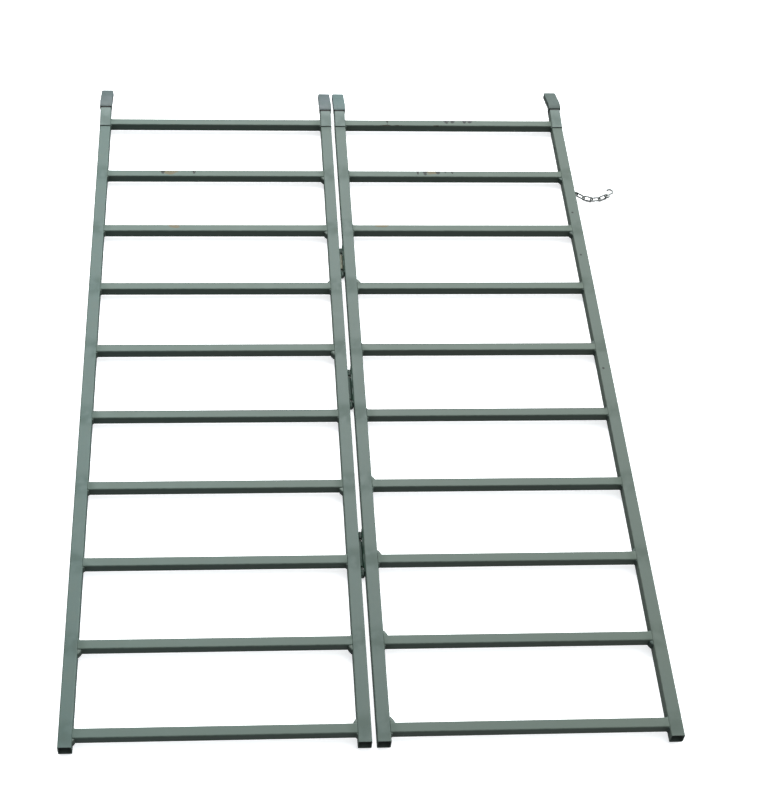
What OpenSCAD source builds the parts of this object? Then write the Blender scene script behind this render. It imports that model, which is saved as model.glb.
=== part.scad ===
// Folding ladder ramp: two welded ladder leaves hinged side by side along their inner rails.
// X runs across the ramp with 0 on the fold line, Y runs from the foot ends to the tongues,
// Z is up with 0 at the ground that the hinge barrels lie on. Millimetres.

/* [Leaf] */
// Outside width of one leaf
leaf_w = 550; // [450:5:600]
// Gap between the two inner rails
fold_gap = 9; // [8.6:0.1:12]
// Rungs on each leaf
rung_count = 10; // [4:1:10]
// Distance from one rung to the next
rung_pitch = 178; // [120:1:220]
// Distance from the foot ends to the first rung's centre
first_rung_y = 27; // [20:1:80]

/* [Tubes] */
// Outside size of the square rail tube
rail_size = 25; // [22:0.5:32]
// Outside size of the square rung tube
rung_size = 20; // [14:0.5:20]
// Wall of both tubes
tube_wall = 1.5; // [1.2:0.1:2.5]
// Outside corner radius of both tubes
tube_r = 2.5; // [2.1:0.1:3]
// Leg of a weld bead between a rung and a rail
bead_leg = 3.5; // [2:0.5:4]

/* [Neck and tongue] */
// Distance from the top rung's centre back to the joint between rail and neck
neck_back = 15; // [12:1:30]
// Length of the outer rails' neck tubes
neck_len = 70; // [60:1:100]
// How much shorter the inner rails' necks are
inner_trim = 8; // [0:1:12]
// Upward kick of the neck
neck_kick = 8; // [0:1:9]
// Step of the neck above the rail's top face
neck_step = 2; // [0.5:0.1:2]
// Distance along an outer neck to its tongue's lower edge
lap_start = 58; // [50:1:60]
// Length of the tongue that laps over the neck
lap_len = 16; // [14:1:24]
// Length of the tongue beyond its bend
tongue_len = 69; // [40:1:70]
// Drop of the tongue below the leaf's plane
tongue_drop = 19; // [12:1:19]
// Plate thickness of the tongue
tongue_t = 1.6; // [1.2:0.1:3]
// Depth of the tongue's side flanges
tongue_depth = 14; // [10:0.5:14]
// Corner radius at the tongue's free end
tongue_r = 4; // [2:0.5:8]

/* [Strap holes] */
// Radius of the cross-drilled strap hole in each outer rail
strap_hole_r = 4.5; // [3:0.5:6]
// Distance of the left rail's strap hole from the foot ends
left_hole_y = 1549; // [1480:1:1580]
// Distance of the right rail's strap hole from the foot ends
right_hole_y = 1552; // [1480:1:1580]

/* [Hinges] */
// Hinge centres from the foot ends
hinge_ys = [408, 821, 1186];
// Length of each hinge
hinge_lens = [100, 100, 84];
// Outside radius of the barrels
barrel_r = 4.2; // [4:0.1:4.2]
// Radius of the hinge pins
pin_r = 2.5; // [2:0.1:2.6]
// Radial running clearance between a pin and its barrels
pin_play = 0.05; // [0.02:0.01:0.1]
// Length of each end barrel
end_barrel = 14; // [10:1:20]
// Space between an end barrel and the middle barrel
barrel_space = 7; // [4:1:10]
// Thickness of the hinge strap
strap_t = 2; // [1.5:0.1:2.2]
// Height of the hinge strap
strap_h = 13; // [8:1:14]

/* [Chain] */
// Distance of the chain eye from the foot ends
chain_y = 1397; // [1200:1:1500]
// Height of the chain eye above the ground
chain_z = 17; // [14:1:22]
// Wire radius of the chain
wire_r = 2; // [1.6:0.1:2.1]
// Outside length of one link
link_len = 28; // [27:0.5:32]
// Outside width of one link
link_w = 14.4; // [14:0.2:16]
// Play between two links that are pulled straight
link_play = 0.8; // [0.4:0.1:1]

/* [Hidden] */
$fn = 48;
half_gap = fold_gap / 2;
pin_z = barrel_r;
// The undersides stay just above the fold axis, so that the leaves close flat against each other.
under_z = pin_z + 0.5;
top_z = under_z + rail_size;
rung_len = leaf_w - 2 * rail_size;
top_rung_y = first_rung_y + (rung_count - 1) * rung_pitch;
seam_y = top_rung_y - neck_back;
outer_x = half_gap + leaf_w - rail_size / 2;
inner_x = half_gap + rail_size / 2;
bore_r = pin_r + pin_play;
// Clear height between the middle barrel and the hinge strap above it.
strap_clear = 0.6;
// Weld beads stop this far short of the rung's corners.
bead_inset = 2;
bead_h = rung_size - 2 * bead_inset;
tongue_w = rail_size + 2 * tongue_t;
tongue_turn = neck_kick + tongue_drop;
tongue_end_y = lap_start + lap_len + tongue_len * cos(tongue_turn);
big = 400;

// Heading in plan and dip below level of each link as it lies on the ground, then of the hook.
link_heading = [-16, -8, 6, 28, 40];
link_dip = [22, 9, 0, 0, 8];
// Turn of each link about its own length; neighbours cross at about a right angle.
link_roll = [0, 80, -5, 75, 0];
link_count = 4;
bend_r = link_w / 2 - wire_r;
link_side = link_len - link_w;
link_pitch = link_len - 4 * wire_r - link_play;
// The staple's reach out of the rail and its half height.
eye_reach = 10;
eye_half = 7;
// Centreline radii of the hook's bend and eye, and the length of its shank.
hook_r = 7;
hook_eye_r = 5.5;
hook_shank = 15;
hook_bend = 215;

// One link's step from its first pull point to its last.
function step(i) = link_pitch * [
  cos(link_dip[i]) * cos(link_heading[i]),
  cos(link_dip[i]) * sin(link_heading[i]),
  -sin(link_dip[i])
];
function link_start(i) = i > 0 ? link_start(i - 1) + step(i - 1)
  : [half_gap + leaf_w + eye_reach - 2 * wire_r - link_play / 2, chain_y, chain_z];

// Square with round corners, centred.
module round_square(size, r) {
  square([size, size - 2 * r], center = true);
  square([size - 2 * r, size], center = true);
  for (x = [-1, 1], y = [-1, 1])
    translate([x, y] * (size / 2 - r))
      circle(r);
}

// Square tube from 0 along +Y, its top face at Z = 0.
module tube(size, length) {
  translate([0, 0, -size / 2])
    rotate([-90, 0, 0])
      linear_extrude(length)
        difference() {
          round_square(size, tube_r);
          round_square(size - 2 * tube_wall, tube_r - tube_wall);
        }
}

// Rail with its top face at the leaf's top, centred on x.
module rail(x) {
  color("#83938b")
    translate([x, 0, top_z])
      tube(rail_size, seam_y);
}

// Outer rail, cross-drilled for a strap.
module drilled_rail(x, hole_y) {
  color("#83938b")
    difference() {
      rail(x);
      translate([x, hole_y, top_z - rail_size / 2])
        rotate([0, 90, 0])
          cylinder(h = 2 * rail_size, r = strap_hole_r, center = true);
    }
}

// The neck's own frame: the start of its top face, kicked upwards.
module neck_frame(x) {
  translate([x, seam_y, top_z])
    rotate([neck_kick, 0, 0])
      translate([0, 0, neck_step])
        children();
}

// Neck tube, cut square with the rail's end so that the two ends meet face to face.
module neck(x, trim) {
  color("#879690")
    difference() {
      neck_frame(x)
        translate([0, -rail_size, 0])
          tube(rail_size, neck_len - trim + rail_size);
      translate([x - big / 2, seam_y - big, top_z - big / 2])
        cube([big, big, big]);
    }
}

// Side outline of the tongue between two depths below its top face.
module tongue_side(high, low) {
  mitre = tan(tongue_turn / 2);
  bend_y = lap_start + lap_len;
  function lap_point(y, depth) = [y, tongue_t - depth];
  function free_point(depth) = [
    tongue_end_y - depth * mitre,
    tongue_t - depth - tongue_len * sin(tongue_turn)
  ];
  polygon([
    lap_point(lap_start, high),
    lap_point(bend_y - high * mitre, high),
    free_point(high),
    free_point(low),
    lap_point(bend_y - low * mitre, low),
    lap_point(lap_start, low)
  ]);
}

// Tongue plan: straight sides and a rounded free end.
module tongue_plan() {
  translate([-tongue_w / 2, lap_start])
    square([tongue_w, tongue_end_y - lap_start - tongue_r]);
  translate([-tongue_w / 2 + tongue_r, lap_start])
    square([tongue_w - 2 * tongue_r, tongue_end_y - lap_start]);
  for (x = [-1, 1])
    translate([x * (tongue_w / 2 - tongue_r), tongue_end_y - tongue_r])
      circle(tongue_r);
}

// Folded channel that laps over the neck and bends down to bear on a vehicle's bed.
module tongue(x, trim) {
  color("#82969a")
    neck_frame(x)
      translate([0, -trim, 0])
        difference() {
          intersection() {
            rotate([90, 0, 90])
              linear_extrude(tongue_w, center = true)
                tongue_side(0, tongue_depth);
            linear_extrude(big, center = true)
              tongue_plan();
          }
          rotate([90, 0, 90])
            linear_extrude(rail_size, center = true)
              tongue_side(tongue_t, tongue_depth + 1);
        }
}

// Rung between a leaf's two rails, flush with their top faces; side is -1 left and 1 right.
module rung(side, index) {
  color("#8c9b91")
    translate([side * (half_gap + rail_size + rung_len / 2), first_rung_y + index * rung_pitch, top_z])
      rotate([0, 0, 90])
        translate([0, -rung_len / 2, 0])
          tube(rung_size, rung_len);
}

// The four upright weld beads of every rung on one leaf.
module weld_beads(side) {
  color("#6f7f78")
    for (index = [0 : rung_count - 1], end = [-1, 1], face = [-1, 1])
      translate([
        side * (half_gap + leaf_w / 2) + end * rung_len / 2,
        first_rung_y + index * rung_pitch + face * rung_size / 2,
        top_z - rung_size + bead_inset
      ])
        linear_extrude(bead_h)
          polygon([[0, 0], [-end * bead_leg, 0], [0, face * bead_leg]]);
}

// Barrel along Y about the fold axis, with a foot out to the rail on one side.
module barrel(length, side) {
  difference() {
    union() {
      rotate([90, 0, 0])
        cylinder(h = length, r = barrel_r, center = true);
      translate([side > 0 ? 0 : -half_gap, -length / 2, 0])
        translate([0, 0, 0.5])
          cube([half_gap, length, barrel_r + strap_clear - 0.5]);
    }
    rotate([90, 0, 0])
      cylinder(h = length + 2, r = bore_r, center = true);
  }
}

// Middle barrel, welded to the left inner rail.
module hinge_barrel(i) {
  color("#5b6b5c")
    translate([0, hinge_ys[i], pin_z])
      barrel(hinge_lens[i] - 2 * (end_barrel + barrel_space), -1);
}

// Strap welded to the right inner rail, with a barrel at each end.
module hinge_strap(i) {
  color("#56655a")
    translate([0, hinge_ys[i], pin_z]) {
      for (end = [-1, 1])
        translate([0, end * (hinge_lens[i] - end_barrel) / 2, 0])
          barrel(end_barrel, 1);
      translate([half_gap - strap_t, -hinge_lens[i] / 2, barrel_r + strap_clear])
        cube([strap_t, hinge_lens[i], strap_h]);
    }
}

// Pin with a peened head at each end.
module hinge_pin(i) {
  head_r = pin_r + 1;
  head_t = 1.5;
  head_gap = 0.4;
  color("#9aa39d")
    translate([0, hinge_ys[i], pin_z])
      rotate([90, 0, 0]) {
        cylinder(h = hinge_lens[i] + 2 * head_gap, r = pin_r, center = true);
        for (end = [-1, 1])
          translate([0, 0, end * (hinge_lens[i] / 2 + head_gap + head_t / 2)])
            cylinder(h = head_t, r = head_r, center = true);
      }
}

// Part of a ring of wire in the XY plane, starting at +X.
module wire_bend(r, angle) {
  rotate_extrude(angle = angle)
    translate([r, 0])
      circle(wire_r, $fn = 24);
}

// Straight wire from 0 along +X.
module wire(length) {
  rotate([0, 90, 0])
    cylinder(h = length, r = wire_r, $fn = 24);
}

// Staple welded to the right outer rail, standing upright.
module chain_eye() {
  color("#7f8f88")
    translate([half_gap + leaf_w, chain_y, chain_z])
      rotate([90, 0, 0]) {
        translate([eye_reach - eye_half, 0, 0])
          rotate([0, 0, -90])
            wire_bend(eye_half - wire_r, 180);
        for (side = [-1, 1])
          translate([0, side * (eye_half - wire_r), 0])
            wire(eye_reach - eye_half);
      }
}

// Places its child at a link's first pull point, along the link's own direction.
module along_link(i) {
  translate(link_start(i))
    rotate([0, link_dip[i], link_heading[i]])
      rotate([link_roll[i], 0, 0])
        children();
}

// Round-ended wire link.
module chain_link(i) {
  color("#cdd3d0")
    along_link(i)
      translate([(link_pitch - link_side) / 2, 0, 0]) {
        for (side = [-1, 1])
          translate([0, side * bend_r, 0])
            wire(link_side);
        translate([link_side, 0, 0])
          rotate([0, 0, -90])
            wire_bend(bend_r, 180);
        rotate([0, 0, 90])
          wire_bend(bend_r, 180);
      }
}

// Open hook with a closed eye on the last link.
module chain_hook() {
  color("#d3d8d6")
    along_link(link_count)
      translate([hook_eye_r - wire_r - link_play / 2, 0, 0]) {
        wire_bend(hook_eye_r, 360);
        translate([hook_eye_r, 0, 0])
          wire(hook_shank);
        translate([hook_eye_r + hook_shank, hook_r, 0])
          rotate([0, 0, -90])
            wire_bend(hook_r, hook_bend);
      }
}

drilled_rail(-outer_x, left_hole_y);  // left_outer_rail
rail(-inner_x);  // left_inner_rail
rail(inner_x);  // right_inner_rail
drilled_rail(outer_x, right_hole_y);  // right_outer_rail
neck(-outer_x, 0);  // left_outer_neck
neck(-inner_x, inner_trim);  // left_inner_neck
neck(inner_x, inner_trim);  // right_inner_neck
neck(outer_x, 0);  // right_outer_neck
tongue(-outer_x, 0);  // left_outer_tongue
tongue(-inner_x, inner_trim);  // left_inner_tongue
tongue(inner_x, inner_trim);  // right_inner_tongue
tongue(outer_x, 0);  // right_outer_tongue
for (i = [1 : rung_count]) {
  rung(-1, i - 1);
  rung(1, i - 1);
}
weld_beads(-1);  // left_weld_beads
weld_beads(1);  // right_weld_beads
hinge_barrel(0);  // lower_hinge_barrel
hinge_barrel(1);  // middle_hinge_barrel
hinge_barrel(2);  // upper_hinge_barrel
hinge_strap(0);  // lower_hinge_strap
hinge_strap(1);  // middle_hinge_strap
hinge_strap(2);  // upper_hinge_strap
hinge_pin(0);  // lower_hinge_pin
hinge_pin(1);  // middle_hinge_pin
hinge_pin(2);  // upper_hinge_pin
chain_eye();
for (i = [1 : link_count])
  chain_link(i - 1);
chain_hook();
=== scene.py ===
import math
import random

import bmesh
import bpy
from mathutils import Matrix, Vector


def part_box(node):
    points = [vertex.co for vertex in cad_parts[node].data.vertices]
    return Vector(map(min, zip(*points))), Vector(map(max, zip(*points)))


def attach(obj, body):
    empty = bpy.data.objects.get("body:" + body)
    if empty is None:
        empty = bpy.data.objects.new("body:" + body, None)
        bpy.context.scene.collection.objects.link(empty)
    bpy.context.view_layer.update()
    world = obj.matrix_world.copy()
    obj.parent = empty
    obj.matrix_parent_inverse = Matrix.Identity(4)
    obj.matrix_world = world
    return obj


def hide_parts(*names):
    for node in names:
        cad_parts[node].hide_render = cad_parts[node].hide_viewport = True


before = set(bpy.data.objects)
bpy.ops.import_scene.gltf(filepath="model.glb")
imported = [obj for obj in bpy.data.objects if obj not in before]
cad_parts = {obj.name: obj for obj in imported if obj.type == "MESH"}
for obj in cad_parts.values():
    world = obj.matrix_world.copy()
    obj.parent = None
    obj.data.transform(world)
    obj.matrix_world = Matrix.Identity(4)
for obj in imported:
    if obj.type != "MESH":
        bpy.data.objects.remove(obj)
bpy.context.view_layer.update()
random.seed(31)

# places that the frame gives
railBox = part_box("right_inner_rail")
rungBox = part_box("right_rung_1")
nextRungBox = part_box("right_rung_2")
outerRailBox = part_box("right_outer_rail")
topZ = railBox[1].z
railSize = railBox[1].z - railBox[0].z
rungSize = rungBox[1].y - rungBox[0].y
rungPitch = nextRungBox[0].y - rungBox[0].y
firstRungY = (rungBox[0].y + rungBox[1].y) / 2
innerRailX = (railBox[0].x + railBox[1].x) / 2
outerRailX = (outerRailBox[0].x + outerRailBox[1].x) / 2
seamY = railBox[1].y
rungCount = sum(1 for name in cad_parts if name.startswith("right_rung_"))
lastRungY = firstRungY + (rungCount - 1) * rungPitch
mm = 0.001
# the tongues lap the necks from here, and the inner necks end sooner
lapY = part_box("right_outer_tongue")[0].y
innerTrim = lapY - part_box("right_inner_tongue")[0].y


class Flow:
    # one socket of a finish, so that shader maths reads as plain expressions
    def __init__(self, finish, socket):
        self.finish = finish
        self.socket = socket

    def __add__(self, other):
        return self.finish.maths("ADD", self, other)

    def __radd__(self, other):
        return self.finish.maths("ADD", other, self)

    def __sub__(self, other):
        return self.finish.maths("SUBTRACT", self, other)

    def __rsub__(self, other):
        return self.finish.maths("SUBTRACT", other, self)

    def __mul__(self, other):
        return self.finish.maths("MULTIPLY", self, other)

    def __rmul__(self, other):
        return self.finish.maths("MULTIPLY", other, self)

    def __truediv__(self, other):
        return self.finish.maths("DIVIDE", self, other)

    def __abs__(self):
        return self.finish.maths("ABSOLUTE", self, 0)


class Finish:
    # one material, built node by node
    def __init__(self, name, fixed):
        self.material = bpy.data.materials.new(name)
        self.material.use_nodes = True
        self.tree = self.material.node_tree
        self.surface = self.tree.nodes["Principled BSDF"]
        for socketName, value in fixed.items():
            self.surface.inputs[socketName].default_value = value
        self.place = self.add("ShaderNodeTexCoord", {}, {}, "Object")
        axes = self.add("ShaderNodeSeparateXYZ", {}, {"Vector": self.place}, "X")
        self.x = axes
        self.y = Flow(self, axes.socket.node.outputs["Y"])
        self.z = Flow(self, axes.socket.node.outputs["Z"])

    def add(self, kind, settings, sockets, output=0):
        node = self.tree.nodes.new(kind)
        for key, value in settings.items():
            setattr(node, key, value)
        for key, value in sockets.items():
            if isinstance(value, Flow):
                self.tree.links.new(value.socket, node.inputs[key])
            else:
                node.inputs[key].default_value = value
        return Flow(self, node.outputs[output])

    def maths(self, operation, first, second):
        return self.add("ShaderNodeMath", {"operation": operation}, {0: first, 1: second})

    def larger(self, first, second):
        return self.maths("MAXIMUM", first, second)

    def smaller(self, first, second):
        return self.maths("MINIMUM", first, second)

    def noise(self, scale, detail=4.0, rough=0.55, stretch=(1, 1, 1), seed=0.0):
        moved = self.add("ShaderNodeMapping", {}, {
            "Vector": self.place, "Scale": stretch, "Location": (seed, seed * 0.7, seed * 0.3)})
        return self.add("ShaderNodeTexNoise", {}, {
            "Vector": moved, "Scale": scale, "Detail": detail, "Roughness": rough}, "Fac")

    def rise(self, value, low, high):
        # 0 at low, 1 at high, smooth between
        return self.add("ShaderNodeMapRange", {"interpolation_type": "SMOOTHSTEP"}, {
            "Value": value, "From Min": low, "From Max": high})

    def blend(self, factor, first, second):
        return self.add("ShaderNodeMix", {"data_type": "RGBA"}, {0: factor, 6: first, 7: second}, 2)

    def shade(self, **flows):
        names = {"colour": "Base Color", "rough": "Roughness", "metal": "Metallic"}
        for key, flow in flows.items():
            self.tree.links.new(flow.socket, self.surface.inputs[names[key]])

    def emboss(self, height, strength, depth):
        bump = self.add("ShaderNodeBump", {}, {"Height": height, "Strength": strength, "Distance": depth})
        self.tree.links.new(bump.socket, self.surface.inputs["Normal"])


def rgb(red, green, blue):
    # 0 to 255 as seen, turned to linear
    def linear(part):
        part = part / 255
        return part / 12.92 if part <= 0.04045 else ((part + 0.055) / 1.055) ** 2.4
    return (linear(red), linear(green), linear(blue), 1)


paintLook = {
    "cool": rgb(64, 82, 77),
    "fresh": rgb(68, 81, 75),
    "olive": rgb(73, 84, 76),
    "faded": rgb(80, 90, 83),
    "grime": rgb(42, 50, 44),
    "deep": rgb(41, 58, 51),
    "skySheen": rgb(54, 76, 74),
    # dark primer shows in the chips; the same dark is also painted shade at the neck step and below the
    # tongues
    "primerAndShade": rgb(20, 24, 20),
    "rust": rgb(84, 68, 46),
    "rustDark": rgb(42, 32, 23),
    "stain": rgb(80, 74, 52),
    "bareTube": rgb(88, 97, 92),
    "rubbed": rgb(104, 117, 109),
    "halo": rgb(90, 94, 74),
    "roughLow": 0.46,
    "roughHigh": 0.66,
}


def pastRung(finish):
    # distance along Y past the nearest rung's centre line, negative on the near side
    turns = (finish.y - firstRungY) / rungPitch + 0.5
    return (finish.maths("FRACT", turns, 0) - 0.5) * rungPitch


def nearestRung(finish):
    return abs(pastRung(finish))


def nearestRail(finish):
    # distance along X from the nearest rail's centre line
    across = abs(finish.x)
    return finish.smaller(abs(across - innerRailX), abs(across - outerRailX))


def cornerMask(finish, offset, size, start):
    # 1 along the long corners of a square tube
    middleZ = topZ - size / 2
    level = abs(finish.z - middleZ)
    return finish.rise(finish.smaller(offset, level), size / 2 - start, size / 2 - 0.4 * mm)


def insideMask(finish, offset, size):
    # 1 on the unpainted inner walls of a square tube
    middleZ = topZ - size / 2
    level = abs(finish.z - middleZ)
    reach = size / 2 - 0.9 * mm
    return 1 - finish.rise(finish.larger(offset, level), reach - 0.3 * mm, reach)


# marks along the far edges of the upper rungs: rung number, place across the ramp, half length
knocks = (
    (10, 274 * mm, 8 * mm), (10, 289 * mm, 6 * mm), (10, 318 * mm, 5 * mm), (10, 331 * mm, 7 * mm),
    (10, 131 * mm, 4 * mm), (9, 208 * mm, 7 * mm), (9, 239 * mm, 7 * mm), (9, 256 * mm, 3.5 * mm),
    (9, 272 * mm, 3.5 * mm), (9, 191 * mm, 3 * mm), (9, -330 * mm, 5 * mm), (9, -402 * mm, 5 * mm),
)
stains = ((9, 224 * mm, 19 * mm), (9, -386 * mm, 24 * mm), (8, -372 * mm, 16 * mm), (8, 96 * mm, 20 * mm))
# pinholes in the paint on the right outer rail: place along the ramp
pinholes = (855 * mm, 1323 * mm, 1188 * mm)
pinholeLook = {"aside": 4 * mm, "core": 1.8 * mm, "rim": 3.4 * mm, "ragged": 0.4 * mm}
# how far in from the rung's far edge a mark is deepest, and how far it fades along the ramp
markLook = {"inset": 3 * mm, "fade": 11 * mm}


def edgeMask(finish, marks, ragged):
    # 1 inside the marks, fading out inwards from the far top corner of the rung
    found = -1.0
    for number, across, half in marks:
        middle = firstRungY + (number - 1) * rungPitch
        away = abs(finish.x - across) / half
        back = (middle + rungSize / 2 - markLook["inset"] - finish.y) / markLook["fade"]
        found = finish.larger(found, 1 - (away * away + abs(back)))
    return finish.rise(found + ragged, 0.1, 0.4)


# middle, full and gone are counted in rungs, inner and outer in from the far edge, deep down from the top
farEdgeLineLook = {
    "middle": 5.8, "full": 0.8, "gone": 2.1, "inner": 3.4 * mm, "outer": 2.0 * mm,
    "deep": 5 * mm, "shallow": 3.5 * mm, "ragged": 0.15 * mm, "share": 0.9,
}


def farEdgeLineMask(finish, ragged):
    # a dark line along the far top corners of the middle rungs
    number = (finish.y - firstRungY) / rungPitch + 1
    middle = 1 - finish.rise(abs(number - farEdgeLineLook["middle"]), farEdgeLineLook["full"], farEdgeLineLook["gone"])
    edgeY = rungSize / 2
    past = pastRung(finish) + ragged * farEdgeLineLook["ragged"]
    edge = finish.rise(past, edgeY - farEdgeLineLook["inner"], edgeY - farEdgeLineLook["outer"])
    upper = finish.rise(finish.z, topZ - farEdgeLineLook["deep"], topZ - farEdgeLineLook["shallow"])
    return middle * edge * upper * farEdgeLineLook["share"]


def knockMask(finish, ragged):
    return edgeMask(finish, knocks, ragged)


def stainMask(finish, ragged):
    return edgeMask(finish, stains, ragged)


def pinholeMask(finish, ragged):
    # 1 in the core of each pinhole, a little inward of the rail's centre line
    found = 0.0
    for along in pinholes:
        forward = finish.y - along
        aside = finish.x - outerRailX + pinholeLook["aside"]
        away = finish.maths("POWER", forward * forward + aside * aside, 0.5)
        away = away - ragged * pinholeLook["ragged"]
        found = finish.larger(found, 1 - finish.rise(away, pinholeLook["core"], pinholeLook["rim"]))
    return found


def lapShadeMask(finish, ragged):
    # 1 on the neck just short of a tongue's lower end: painted shade along the lap edge
    outer = finish.rise(abs(finish.x), 0.2, 0.4)
    before = lapY + innerTrim * (outer - 1) - finish.y
    return 1 - finish.rise(before + ragged * 0.1 * mm, 2.2 * mm, 4.6 * mm)


def paintedTube(name, offsetOf, size, chips, seed, tint=None, tintShare=0.0):
    # offsetOf gives the distance from the tube's centre line, and chips says how worn it is
    finish = Finish(name, {"Specular IOR Level": 0.3})
    offset = offsetOf(finish)
    broad = finish.noise(5.5, 3, 0.5, (1, 1, 1), seed)
    cloudy = finish.noise(38, 4, 0.6, (1, 1, 1), seed + 3)
    fine = finish.noise(900, 3, 0.6, (1, 1, 1), seed + 5)
    grit = finish.noise(2600, 2, 0.5, (1, 1, 1), seed + 9)
    # painted colour cast: bluer on the left leaf and greener on the right, standing in for cool light from
    # the left and warm light from the right
    castDrift = finish.x + (broad - 0.5) * 0.5
    colour = finish.blend(finish.rise(castDrift, -0.6, 0.1), paintLook["cool"], paintLook["fresh"])
    colour = finish.blend(finish.rise(castDrift, 0.1, 0.7), colour, paintLook["olive"])
    colour = finish.blend(finish.rise(cloudy, 0.42, 0.78) * 0.45, colour, paintLook["faded"])
    if tint:
        colour = finish.blend(tintShare, colour, tint)
    speckle = finish.rise(fine, 0.60, 0.74)
    colour = finish.blend(speckle * 0.18, colour, paintLook["grime"])
    # rubbed lighter in patches along the long corners
    corner = cornerMask(finish, offset, size, 3.2 * mm) if chips["open"] else 0.0
    patchy = finish.noise(70, 4, 0.65, (1, 1, 1), seed + 12)
    colour = finish.blend(corner * finish.rise(patchy, 0.35, 0.6) * 0.30, colour, paintLook["rubbed"])
    # darker in patches close to where rungs meet rails
    joint = finish.larger(nearestRail(finish) - railSize / 2, 0)
    near = 1 - finish.rise(joint, 1 * mm, 22 * mm)
    close = 1 - finish.rise(nearestRung(finish), rungSize / 2, rungSize / 2 + 26 * mm)
    jointPatches = near * close * finish.rise(cloudy, 0.30, 0.62)
    colour = finish.blend(jointPatches * 0.16, colour, paintLook["grime"])
    # painted shade: a dark line on the tube just short of the step at the neck joint, where the step's
    # shadow falls
    seamShade = finish.rise(finish.y, seamY - 2.2 * mm, seamY - 0.4 * mm) * (
        1 - finish.rise(finish.y, seamY, seamY + 0.2 * mm))
    colour = finish.blend(seamShade * 0.7, colour, paintLook["primerAndShade"])
    # chips: down to dark primer, then rust in the middle of the larger ones
    edge = cornerMask(finish, offset, size, 5.0 * mm) if chips["open"] else 0.0
    upward = finish.rise(finish.y, lastRungY - chips["reach"], lastRungY)
    wearAmount = chips["base"] + chips["more"] * upward
    flakes = finish.noise(chips["scale"], 5, 0.72, chips["stretch"], seed + 20)
    wear = flakes + edge * chips["edge"] + wearAmount
    chipped = finish.rise(wear, 0.985, 1.01)
    rusted = finish.rise(wear, 1.00, 1.06)
    ochre = finish.noise(160, 3, 0.6, (1, 1, 1), seed + 23)
    rustTone = finish.blend(finish.rise(ochre, 0.35, 0.65), paintLook["rustDark"], paintLook["rust"])
    halo = finish.rise(wear, 0.92, 1.00)
    colour = finish.blend(halo * 0.30, colour, paintLook["halo"])
    colour = finish.blend(chipped, colour, paintLook["primerAndShade"])
    colour = finish.blend(rusted, colour, rustTone)
    for maskOf, tone in chips["spots"]:
        colour = finish.blend(maskOf(finish, (flakes - 0.5) * 3.0), colour, paintLook[tone])
    inner = insideMask(finish, offset, size) if chips["open"] else 0.0
    colour = finish.blend(inner, colour, paintLook["bareTube"])
    rough = paintLook["roughLow"] + (paintLook["roughHigh"] - paintLook["roughLow"]) * cloudy
    rough = finish.smaller(rough + rusted * 0.35 + jointPatches * 0.15 + inner * 0.2, 0.95)
    finish.shade(colour=colour, rough=rough)
    height = fine * 0.35 + grit * 0.12 + cloudy * 0.25 - chipped * 0.9 + rusted * 0.25
    finish.emboss(height, 0.35, 0.35 * mm)
    return finish.material


# base, more and reach: how wear grows toward the top rung; edge: how much the corners add to it;
# open: the tube shows its corners and its bare inside; spots: masks laid over, with their tones
railChips = {"base": 0.0, "more": 0.03, "reach": 0.9, "scale": 46, "stretch": (1, 0.45, 1), "edge": 0.20,
             "spots": ((pinholeMask, "primerAndShade"),), "open": True}
rungChips = {"base": 0.02, "more": 0.13, "reach": 0.62, "scale": 52, "stretch": (0.4, 1, 1), "edge": 0.22,
             "spots": ((farEdgeLineMask, "primerAndShade"), (stainMask, "stain"), (knockMask, "primerAndShade")), "open": True}
# the necks' one spot is the painted shade below the tongues' lower ends
quietChips = {"base": -0.05, "more": 0.03, "reach": 0.5, "scale": 60, "stretch": (1, 1, 1), "edge": 0.22,
              "spots": ((lapShadeMask, "primerAndShade"),), "open": False}

railPaint = paintedTube("railPaint", nearestRail, railSize, railChips, 2.0)
rungPaint = paintedTube("rungPaint", nearestRung, rungSize, rungChips, 6.0, rgb(80, 92, 80), 0.30)
neckPaint = paintedTube("neckPaint", nearestRail, railSize, quietChips, 9.0, rgb(96, 109, 105), 0.55)
print("tube paint ready")


def platePaint(name, main, second, worn, seed, under=rgb(84, 88, 78), skySheen=0.0):
    # brushed-on paint over folded plate and welds
    finish = Finish(name, {"Specular IOR Level": 0.45})
    broad = finish.noise(26, 3, 0.5, (1, 1, 1), seed)
    cloudy = finish.noise(110, 4, 0.6, (1, 1, 1), seed + 2)
    fine = finish.noise(1100, 3, 0.6, (1, 1, 1), seed + 4)
    colour = finish.blend(finish.rise(broad, 0.35, 0.65), main, second)
    colour = finish.blend(finish.rise(finish.x, 0.25, 0.5) * 0.9, colour, paintLook["deep"])
    # painted sky reflection: the right inner tongue is paler and bluer, as if it faced the sky
    beside = finish.rise(finish.x, 0, 8 * mm) * (1 - finish.rise(finish.x, 0.1, 0.25))
    colour = finish.blend(beside * skySheen, colour, paintLook["skySheen"])
    colour = finish.blend(finish.rise(cloudy, 0.52, 0.8) * 0.5, colour, paintLook["grime"])
    scuffs = finish.noise(190, 4, 0.7, (1, 0.4, 1), seed + 6)
    bare = finish.rise(scuffs, worn, worn + 0.05)
    colour = finish.blend(bare * 0.8, colour, under)
    finish.shade(colour=colour, rough=0.42 + cloudy * 0.3, metal=bare * 0.5)
    finish.emboss(fine * 0.4 + cloudy * 0.4 - bare * 0.4, 0.4, 0.3 * mm)
    return finish.material


# the tongues carry the painted sky reflection on the right inner one
tonguePaint = platePaint("tonguePaint", rgb(50, 65, 64), rgb(58, 69, 71), 0.72, 1.5, skySheen=0.9)
weldPaint = platePaint("weldPaint", rgb(58, 70, 63), rgb(72, 85, 77), 0.66, 4.5)
hingePaint = platePaint("hingePaint", rgb(28, 56, 45), rgb(38, 68, 55), 0.74, 7.5, rgb(66, 82, 72))
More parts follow.
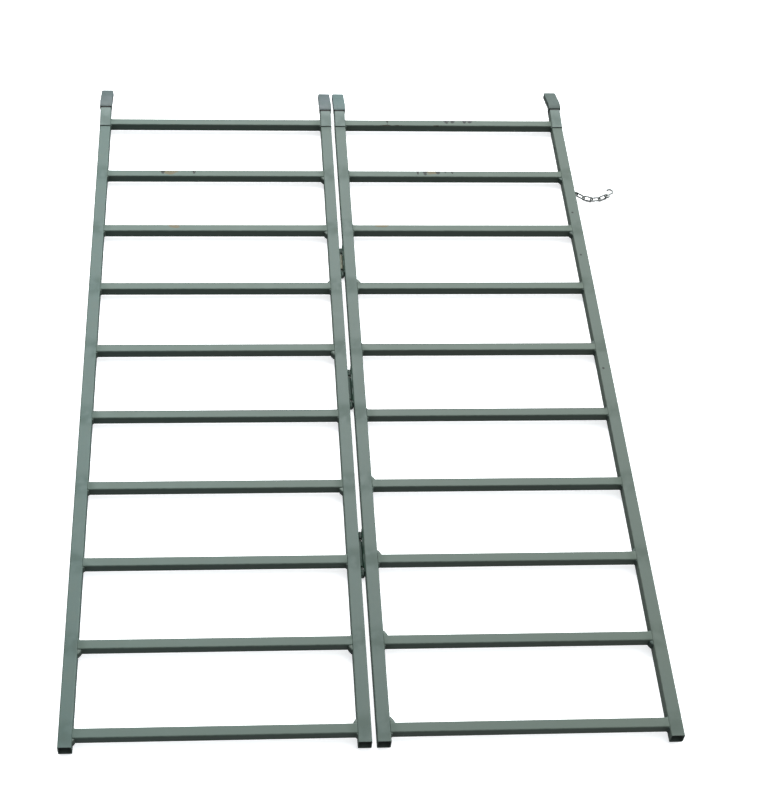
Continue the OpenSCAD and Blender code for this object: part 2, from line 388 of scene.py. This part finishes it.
# a much lighter copy of the hinge paint for the upper barrel: bare wear, and a painted highlight in its
# pale colours
hingeWornAndLit = platePaint("hingeWornAndLit", rgb(104, 112, 96), rgb(124, 128, 110), 0.50, 9.5, rgb(140, 142, 122))


def bareMetal(name, main, second, dull, rough, seed):
    finish = Finish(name, {"Metallic": 0.8})
    broad = finish.noise(120, 3, 0.5, (1, 1, 1), seed)
    fine = finish.noise(1500, 3, 0.6, (1, 1, 1), seed + 2)
    colour = finish.blend(finish.rise(broad, 0.35, 0.65), main, second)
    colour = finish.blend(finish.rise(fine, 0.55, 0.75) * 0.5, colour, dull)
    finish.shade(colour=colour, rough=rough + 0.22 * broad)
    finish.emboss(fine, 0.25, 0.15 * mm)
    return finish.material


pinSteel = bareMetal("pinSteel", rgb(96, 104, 98), rgb(82, 90, 82), rgb(60, 58, 48), 0.42, 3.0)
chainZinc = bareMetal("chainZinc", rgb(136, 139, 137), rgb(124, 127, 125), rgb(98, 101, 98), 0.38, 8.0)
print("metals ready")

finishOfNode = {
    "rail": railPaint, "rung": rungPaint, "neck": neckPaint, "tongue": tonguePaint,
    "weld": weldPaint, "eye": weldPaint, "pin": pinSteel, "hinge": hingePaint, "chain": chainZinc,
}


def finishFor(nodeName):
    for word, material in finishOfNode.items():
        if word in nodeName:
            return material
    return railPaint


for nodeName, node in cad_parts.items():
    node.data.materials.clear()
    node.data.materials.append(finishFor(nodeName))
print("frame finished")


def makePiece(name, shape, material, body, slotName, *stoodFor, sharp=38):
    mesh = bpy.data.meshes.new(name)
    bmesh.ops.recalc_face_normals(shape, faces=shape.faces)
    shape.to_mesh(mesh)
    shape.free()
    mesh.materials.append(material)
    mesh.shade_smooth()
    mesh.set_sharp_from_angle(angle=math.radians(sharp))
    piece = bpy.data.objects.new(name, mesh)
    bpy.context.scene.collection.objects.link(piece)
    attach(piece, body)
    if stoodFor:
        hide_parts(*stoodFor)
    return piece


def copyOfNode(nodeName):
    # the frame's own shape as one closed mesh with clean flats
    shape = bmesh.new()
    shape.from_mesh(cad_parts[nodeName].data)
    bmesh.ops.remove_doubles(shape, verts=shape.verts, dist=0.004 * mm)
    bmesh.ops.dissolve_limit(
        shape, angle_limit=math.radians(1), verts=shape.verts, edges=shape.edges, delimit={"NORMAL"})
    return shape


def softenEdges(shape, width, segments, least=30):
    sharp = [edge for edge in shape.edges
             if len(edge.link_faces) == 2 and edge.calc_face_angle(0) > math.radians(least)]
    bmesh.ops.bevel(
        shape, geom=sharp, offset=width, offset_type="OFFSET", segments=segments, profile=0.5,
        affect="EDGES", clamp_overlap=True, material=-1)


beadLook = {
    "rings": 34, "sides": 14, "bury": 0.9 * mm, "pitch": 1.8 * mm, "ripple": 0.10,
    "lag": 0.7 * mm, "flat": 0.20, "leg": 3.5 * mm, "wide": (7.6 * mm, 10.5 * mm), "spread": 0.14,
    "under": (3.2 * mm, 3.0 * mm), "seam": (1.5 * mm, 0.55 * mm),
}
# joints where the weld was built up, by leaf, rail and the side of the rung
wideBeads = {
    ("left", "outer", -1): {1: 0.6, 2: 0.9},
    ("left", "inner", -1): {2: 1, 4: 0.9, 6: 1, 8: 0.9, 9: 0.9},
    ("left", "inner", 1): {1: 0.9, 7: 0.8},
    ("right", "inner", 1): {1: 1.1, 2: 1, 3: 1, 4: 0.9, 7: 1.1},
    ("right", "outer", -1): {2: 0.9, 8: 0.9, 9: 0.9},
    ("right", "outer", 1): {3: 0.8, 6: 0.8},
}


def addBead(shape, start, end, wallA, wallB, legA, legB, ridge=False):
    # one rippled run of weld with tapered ends, in a corner or as a ridge on a flat
    grid = bmesh.ops.create_grid(
        shape, x_segments=beadLook["rings"], y_segments=beadLook["sides"], size=1)
    run = end - start
    heading = run.normalized()
    ripples = run.length / beadLook["pitch"]
    phase = random.random()
    lean = random.uniform(-0.1, 0.1)
    for vert in grid["verts"]:
        along = (vert.co.x + 1) / 2
        turn = (vert.co.y + 1) * math.pi
        taper = min(1, 7 * min(along, 1 - along))
        taper = math.sqrt(max(0, 1 - (1 - taper) ** 2))
        crest = 1 - ((along * ripples + phase) % 1) ** 2
        swell = taper * (1 + beadLook["ripple"] * crest + lean * (2 * along - 1))
        if not ridge:
            swell *= 1 - beadLook["flat"] * max(0, math.sin(2 * turn))
        lowest = -beadLook["bury"] * taper
        across = math.cos(turn) * legA * swell
        upward = max(math.sin(turn) * legB * swell, lowest)
        if not ridge:
            across = max(across, lowest)
        slide = beadLook["lag"] * max(0, math.sin(turn)) * taper
        vert.co = start + run * along + heading * slide + wallA * across + wallB * upward
    bmesh.ops.remove_doubles(shape, verts=grid["verts"], dist=0.005 * mm)


def rungEnds(leaf):
    # every rung end of one leaf: rung number, rail, wall place, direction along the rung, rung centre
    side = 1 if leaf == "right" else -1
    for number in range(1, rungCount + 1):
        middle = firstRungY + (number - 1) * rungPitch
        for rail, railX, inward in (("inner", innerRailX, 1), ("outer", outerRailX, -1)):
            wallX = side * (railX + inward * railSize / 2)
            yield number, rail, wallX, Vector((side * inward, 0, 0)), middle


def weldBeads(leaf):
    shape = bmesh.new()
    for number, rail, wallX, alongRung, middle in rungEnds(leaf):
        for face in (-1, 1):
            wide = wideBeads.get((leaf, rail, face), {}).get(number)
            legs = [random.uniform(1 - beadLook["spread"], 1) * beadLook["leg"] for _ in range(2)]
            if wide:
                legs = [wide * leg for leg in beadLook["wide"]]
            cornerY = middle + face * rungSize / 2
            addBead(
                shape, Vector((wallX, cornerY, topZ - rungSize + 0.6 * mm)),
                Vector((wallX, cornerY, topZ - 1.4 * mm)), alongRung, Vector((0, face, 0)), *legs)
    return makePiece(
        leaf + "_weld_runs", shape, weldPaint, leaf + "_leaf", "weld_paint", leaf + "_weld_beads", sharp=75)


def lowerBeads(leaf):
    # the runs under the rungs, and the dressed butt welds on the sides of the neck joints
    shape = bmesh.new()
    for number, rail, wallX, alongRung, middle in rungEnds(leaf):
        start = Vector((wallX, middle - rungSize * 0.42, topZ - rungSize))
        end = Vector((wallX, middle + rungSize * 0.40, topZ - rungSize))
        addBead(shape, start, end, alongRung, Vector((0, 0, -1)), *beadLook["under"])
    side = 1 if leaf == "right" else -1
    for railX in (innerRailX, outerRailX):
        for out in (-1, 1):
            wallX = side * railX + out * railSize / 2
            addBead(
                shape, Vector((wallX, seamY, topZ - railSize + 3 * mm)),
                Vector((wallX, seamY - 0.2 * mm, topZ - 2.2 * mm)),
                Vector((0, 1, 0)), Vector((out, 0, 0)), *beadLook["seam"], True)
    return makePiece(leaf + "_lower_runs", shape, weldPaint, leaf + "_leaf", "weld_paint", sharp=75)


for leaf in ("left", "right"):
    weldBeads(leaf)
    lowerBeads(leaf)
print("welds ready")

# kick is in degrees; lapRun is the weld's lower and upper end, down from the neck's top
tongueLook = {
    "fold": 2.0 * mm, "edge": 0.35 * mm, "kick": 8, "step": 2.0 * mm, "lap": 58 * mm, "trim": 8 * mm,
    "lapRun": (-11.5, -2.5), "lapLegs": (1.2 * mm, 2.2 * mm),
}


def makeTongue(leaf, rail):
    # folded plate: rounded folds along the top corners, broken edges elsewhere
    node = "%s_%s_tongue" % (leaf, rail)
    low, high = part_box(node)
    middle = (low.x + high.x) / 2
    reach = (high.x - low.x) / 2
    shape = copyOfNode(node)
    folds = []
    for edge in shape.edges:
        first, last = edge.verts
        atSide = all(abs(abs(vert.co.x - middle) - reach) < 0.01 * mm for vert in edge.verts)
        if not atSide or len(edge.link_faces) != 2:
            continue
        normals = [face.normal for face in edge.link_faces]
        flat = max(abs(normal.x) for normal in normals) > 0.99
        upper = max(normal.z for normal in normals) > 0.5
        if flat and upper and abs(first.co.y - last.co.y) > 2 * mm:
            folds.append(edge)
    bmesh.ops.bevel(
        shape, geom=folds, offset=tongueLook["fold"], offset_type="OFFSET", segments=5, profile=0.5,
        affect="EDGES", clamp_overlap=True, material=-1)
    softenEdges(shape, tongueLook["edge"], 2, 50)
    return makePiece(node + "_plate", shape, tonguePaint, leaf + "_leaf", "tongue_paint", node)


def lapWelds(leaf):
    # short runs down both sides of each neck, behind the tongue's flanges
    shape = bmesh.new()
    side = 1 if leaf == "right" else -1
    for railX, trim in ((innerRailX, tongueLook["trim"]), (outerRailX, 0)):
        tilt = Matrix.Translation((side * railX, seamY, topZ)) @ Matrix.Rotation(
            math.radians(tongueLook["kick"]), 4, "X")
        backward = tilt.to_3x3() @ Vector((0, -1, 0))
        for out in (-1, 1):
            place = Vector((out * railSize / 2, tongueLook["lap"] - trim, 0))
            ends = []
            for level in tongueLook["lapRun"]:
                place.z = tongueLook["step"] + level * mm
                ends.append(tilt @ place)
            addBead(shape, *ends, Vector((out, 0, 0)), backward, *tongueLook["lapLegs"])
    return makePiece(leaf + "_lap_welds", shape, weldPaint, leaf + "_leaf", "weld_paint", sharp=75)


for leaf in ("left", "right"):
    for rail in ("inner", "outer"):
        makeTongue(leaf, rail)
    lapWelds(leaf)
print("tongues ready")

# stitches start at these shares of the strap's length, and each runs for stitchRun of it
hingeLook = {
    "edge": 0.5 * mm, "pinEdge": 0.7 * mm, "stitches": (0.04, 0.40, 0.76), "stitchRun": 0.20,
    "stitchLegs": (1.7 * mm, 2.4 * mm), "endRun": (5.4 * mm, 8.6 * mm), "endLegs": (2.4 * mm, 2.0 * mm),
}


def makeHinge(level, paint):
    # the frame's barrel, strap and pin with broken edges
    for part, material, slotName, body in (
            ("barrel", paint, "hinge_paint", "left_leaf"),
            ("strap", hingePaint, "hinge_paint", "right_leaf"),
            ("pin", pinSteel, "pin_steel", "left_leaf")):
        node = "%s_hinge_%s" % (level, part)
        shape = copyOfNode(node)
        softenEdges(shape, hingeLook["pinEdge" if part == "pin" else "edge"], 3, 50)
        makePiece(node + "_worn", shape, material, body, slotName, node)


def hingeTacks(level):
    # stitch welds along the top of the strap, and short ones at the middle barrel's ends
    strapLow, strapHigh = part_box("%s_hinge_strap" % level)
    barrelLow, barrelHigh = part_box("%s_hinge_barrel" % level)
    shape = bmesh.new()
    wallX = innerRailX - railSize / 2
    span = strapHigh.y - strapLow.y
    for share in hingeLook["stitches"]:
        start = Vector((wallX, strapLow.y + share * span, strapHigh.z))
        end = start + Vector((0, hingeLook["stitchRun"] * span, 0))
        addBead(shape, start, end, Vector((-1, 0, 0)), Vector((0, 0, 1)), *hingeLook["stitchLegs"])
    makePiece(level + "_strap_welds", shape, hingePaint, "right_leaf", "hinge_paint", sharp=75)
    shape = bmesh.new()
    lowZ, highZ = hingeLook["endRun"]
    for endY, out in ((barrelLow.y, -1), (barrelHigh.y, 1)):
        addBead(
            shape, Vector((-wallX, endY, lowZ)), Vector((-wallX, endY, highZ)),
            Vector((1, 0, 0)), Vector((0, out, 0)), *hingeLook["endLegs"])
    makePiece(level + "_barrel_welds", shape, hingePaint, "left_leaf", "hinge_paint", sharp=75)


# the upper hinge's barrel takes the lighter copy, with its painted highlight
for level, paint in (("lower", hingePaint), ("middle", hingePaint), ("upper", hingeWornAndLit)):
    makeHinge(level, paint)
    hingeTacks(level)
print("hinges ready")

# wire is the link wire's radius; the straight sides are the edges longer than sideLength
chainLook = {
    "wire": 2.0 * mm, "swell": 0.45 * mm, "swellLength": 2.6 * mm, "sideLength": 6 * mm,
    "tip": 1.3 * mm, "footWeld": 1.7 * mm, "footDepth": 2.4 * mm, "footOut": 0.6 * mm,
}


def makeLink(number):
    # the frame's link with the upset left by its butt weld, halfway along one side
    node = "chain_link_%d" % number
    shape = copyOfNode(node)
    centre = sum((vert.co for vert in shape.verts), Vector()) / len(shape.verts)
    far = max(shape.verts, key=lambda vert: (vert.co - centre).length).co - centre
    lengthwise = far.normalized()
    middle = [vert.co - centre for vert in shape.verts]
    waist = max((place for place in middle if abs(place.dot(lengthwise)) < 0.55 * far.length),
                key=lambda place: (place - lengthwise * place.dot(lengthwise)).length)
    sideways = (waist - lengthwise * waist.dot(lengthwise)).normalized()
    straight = [edge for edge in shape.edges
                if edge.calc_length() > chainLook["sideLength"]
                and abs((edge.verts[0].co - edge.verts[1].co).normalized().dot(lengthwise)) > 0.98]
    bmesh.ops.subdivide_edges(shape, edges=straight, cuts=15, use_grid_fill=True)
    wire = chainLook["wire"]
    core = centre + sideways * (waist.dot(sideways) - wire)
    for vert in shape.verts:
        offset = vert.co - core
        away = offset.dot(lengthwise)
        spoke = offset - lengthwise * away
        if spoke.length < wire * 1.5:
            lift = chainLook["swell"] * math.exp(-(away / (chainLook["swellLength"] / 2)) ** 2)
            vert.co += spoke.normalized() * lift
    return makePiece(node + "_welded", shape, chainZinc, "link_%d" % number, "chain_zinc", node, sharp=60)


def makeHook():
    # the frame's hook with its cut end dressed round
    shape = copyOfNode("chain_hook")
    cut = max(shape.faces, key=lambda face: len(face.verts))
    bmesh.ops.bevel(
        shape, geom=cut.edges[:], offset=chainLook["tip"], offset_type="OFFSET", segments=5, profile=0.5,
        affect="EDGES", clamp_overlap=True, material=-1)
    return makePiece("chain_hook_dressed", shape, chainZinc, "hook", "chain_zinc", "chain_hook", sharp=60)


def footWelds():
    # a collar of weld round each foot of the chain's eye
    low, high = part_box("chain_eye")
    wallX = outerRailX + railSize / 2
    wire = (high.y - low.y) / 2
    middleY = (low.y + high.y) / 2
    shape = bmesh.new()
    for level in (low.z + wire, high.z - wire):
        collar = bmesh.ops.create_cone(
            shape, cap_ends=True, segments=28, radius1=wire + chainLook["footWeld"],
            radius2=wire * 0.9, depth=chainLook["footDepth"])
        for vert in collar["verts"]:
            vert.co.xy *= random.uniform(0.93, 1.0)
            out, along, up = vert.co.z, vert.co.x, vert.co.y
            vert.co = Vector((wallX + chainLook["footOut"] + out, middleY + along, level + up))
    softenEdges(shape, 0.5 * mm, 3, 25)
    return makePiece("chain_eye_welds", shape, weldPaint, "right_leaf", "weld_paint", sharp=60)


for number in range(1, 5):
    makeLink(number)
makeHook()
footWelds()
print("chain ready")

# floor, light and camera
stageLook = {"floor": 14.0, "colour": rgb(236, 237, 238), "glow": 0.80}


def makeFloor():
    shape = bmesh.new()
    bmesh.ops.create_grid(shape, x_segments=2, y_segments=2, size=stageLook["floor"])
    mesh = bpy.data.meshes.new("floor")
    shape.to_mesh(mesh)
    shape.free()
    finish = Finish("floorPaint", {
        "Roughness": 0.9, "Specular IOR Level": 0.1,
        "Emission Color": stageLook["colour"], "Emission Strength": stageLook["glow"]})
    tone = finish.blend(finish.noise(0.8, 2), stageLook["colour"], rgb(240, 241, 242))
    finish.shade(colour=tone)
    mesh.materials.append(finish.material)
    floor = bpy.data.objects.new("floor", mesh)
    bpy.context.scene.collection.objects.link(floor)
    # no bounce from the floor, so that the upright faces stay dark
    floor.visible_diffuse = False
    floor.visible_glossy = False


makeFloor()


keyLook = {
    "place": (-0.45, 2.8, 2.5), "aim": (-0.1, 1.0, 0.0), "width": 2.4, "height": 1.8, "power": 115,
}


def makeLight():
    lamp = bpy.data.lights.new("keyLight", "AREA")
    lamp.shape = "RECTANGLE"
    lamp.size = keyLook["width"]
    lamp.size_y = keyLook["height"]
    lamp.energy = keyLook["power"]
    light = bpy.data.objects.new("keyLight", lamp)
    light.location = keyLook["place"]
    toward = Vector(keyLook["aim"]) - Vector(keyLook["place"])
    light.rotation_mode = "QUATERNION"
    light.rotation_quaternion = toward.to_track_quat("-Z", "Y")
    bpy.context.scene.collection.objects.link(light)


makeLight()

# "from" and "full" say how squarely a direction faces the soft box where its glow starts and tops out
skyLook = {
    "bright": 3.3, "dim": 0.37, "from": 0.50, "full": 0.95,
    "toward": (0.44, 0.60, 0.67), "colour": (0.94, 0.98, 1.0, 1),
}


def makeSky():
    # a soft box overhead and behind the far end, fading out toward the foot ends
    world = bpy.data.worlds.new("studio")
    world.use_nodes = True
    tree = world.node_tree
    place = tree.nodes.new("ShaderNodeTexCoord")
    facing = tree.nodes.new("ShaderNodeVectorMath")
    facing.operation = "DOT_PRODUCT"
    facing.inputs[1].default_value = skyLook["toward"]
    tree.links.new(place.outputs["Generated"], facing.inputs[0])
    level = tree.nodes.new("ShaderNodeMapRange")
    level.interpolation_type = "SMOOTHSTEP"
    reach = {"From Min": "from", "From Max": "full", "To Min": "dim", "To Max": "bright"}
    for socketName, key in reach.items():
        level.inputs[socketName].default_value = skyLook[key]
    tree.links.new(facing.outputs["Value"], level.inputs["Value"])
    tree.links.new(level.outputs[0], tree.nodes["Background"].inputs["Strength"])
    tree.nodes["Background"].inputs["Color"].default_value = skyLook["colour"]
    return world


bpy.context.scene.world = makeSky()
bpy.context.scene.view_settings.view_transform = "Standard"

cameraLook = {
    "place": (-0.253, -1.291, 2.5785), "aim": (-0.045, 0.7725, 0.0297),
    "roll": 4.13, "lens": 71.8, "shift": 0.0606,
}


def makeCamera():
    data = bpy.data.cameras.new("camera")
    data.lens = cameraLook["lens"]
    data.shift_x = cameraLook["shift"]
    camera = bpy.data.objects.new("camera", data)
    camera.location = cameraLook["place"]
    toward = Vector(cameraLook["aim"]) - Vector(cameraLook["place"])
    camera.rotation_mode = "QUATERNION"
    turn = Matrix.Rotation(math.radians(cameraLook["roll"]), 4, "Z").to_quaternion()
    camera.rotation_quaternion = toward.to_track_quat("-Z", "Y") @ turn
    bpy.context.scene.collection.objects.link(camera)
    bpy.context.scene.camera = camera


makeCamera()
print("stage ready")
